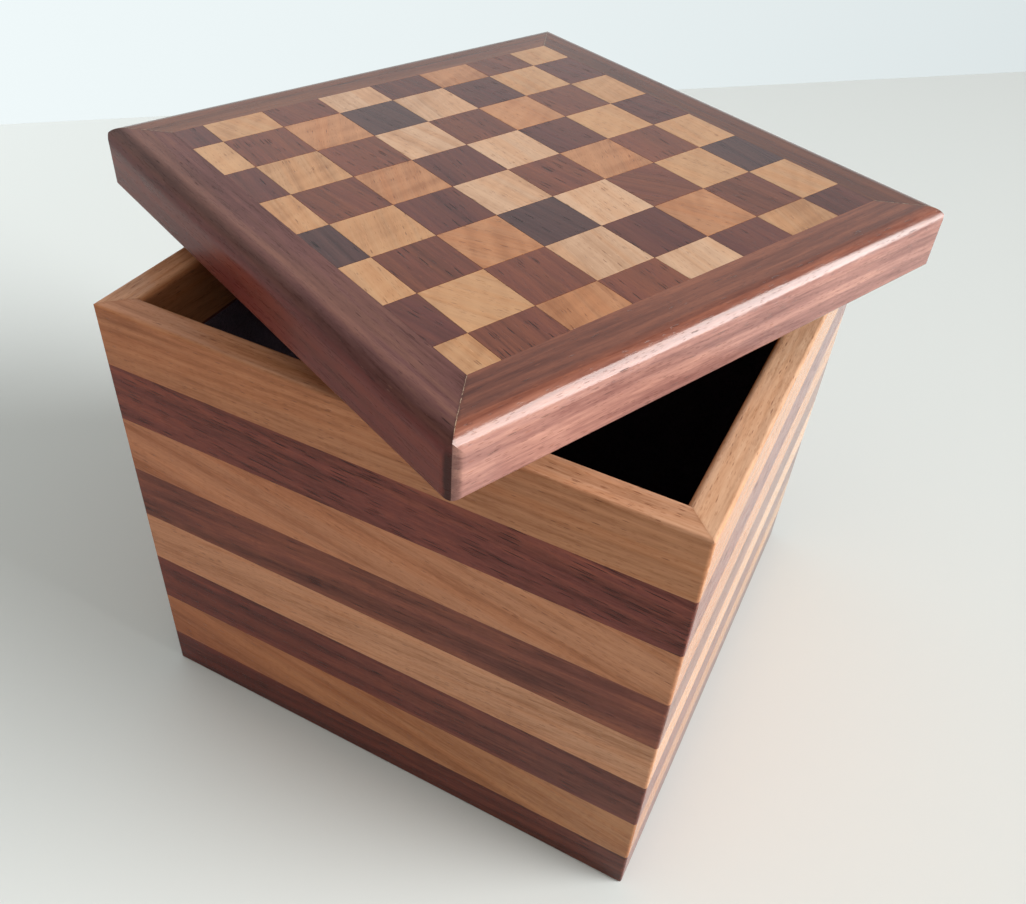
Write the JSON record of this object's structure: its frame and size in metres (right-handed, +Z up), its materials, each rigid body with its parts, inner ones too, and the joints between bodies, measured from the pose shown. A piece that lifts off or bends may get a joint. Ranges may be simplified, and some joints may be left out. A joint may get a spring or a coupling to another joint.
{
  "type": "chess box",
  "caption": "Square wooden box of striped, mitred walls with black felt inside and a loose framed lid inlaid as a chess board, lying turned on the rim.",
  "frame": {"origin": "middle of the flat underside of the box, on the surface it stands on", "axes": "+X along the box's front wall to the right, +Y from the front wall to the back wall, +Z up"},
  "size_m": [0.174, 0.174, 0.1354],
  "materials": {
    "light_wood": "satin oiled light wood",
    "walnut": "satin oiled walnut",
    "walnut_rail": "satin oiled walnut",
    "plywood": "plain",
    "black_felt": "matt felt",
    "square_pale": "satin oiled",
    "square_golden": "satin oiled",
    "square_amber": "satin oiled",
    "square_brown": "satin oiled",
    "square_plum": "satin oiled",
    "square_black": "satin oiled"
  },
  "bodies": {
    "box": {"front_strip_1": "light_wood", "right_strip_1": "light_wood", "back_strip_1": "light_wood", "left_strip_1": "light_wood", "front_strip_2": "walnut", "right_strip_2": "walnut", "back_strip_2": "walnut", "left_strip_2": "walnut", "front_strip_3": "light_wood", "right_strip_3": "light_wood", "back_strip_3": "light_wood", "left_strip_3": "light_wood", "front_strip_4": "walnut", "right_strip_4": "walnut", "back_strip_4": "walnut", "left_strip_4": "walnut", "front_strip_5": "light_wood", "right_strip_5": "light_wood", "back_strip_5": "light_wood", "left_strip_5": "light_wood", "front_strip_6": "walnut", "right_strip_6": "walnut", "back_strip_6": "walnut", "left_strip_6": "walnut", "front_strip_7": "light_wood", "right_strip_7": "light_wood", "back_strip_7": "light_wood", "left_strip_7": "light_wood", "front_strip_8": "walnut", "right_strip_8": "walnut", "back_strip_8": "walnut", "left_strip_8": "walnut", "bottom_panel": "plywood", "felt_floor": "black_felt", "felt_front": "black_felt", "felt_right": "black_felt", "felt_back": "black_felt", "felt_left": "black_felt"},
    "lid": {"lid_rail_front": "walnut_rail", "lid_rail_right": "walnut_rail", "lid_rail_back": "walnut_rail", "lid_rail_left": "walnut_rail", "lid_core": "plywood", "lid_lip": "walnut", "squares_amber": "square_amber", "squares_black": "square_black", "squares_brown": "square_brown", "squares_golden": "square_golden", "squares_pale": "square_pale", "squares_plum": "square_plum"}
  },
  "joints": [
    {"name": "lid_lift", "type": "slide", "parent": "box", "child": "lid", "axis": [0, 0, 1], "range_m": [0, 0.15]}
  ]
}
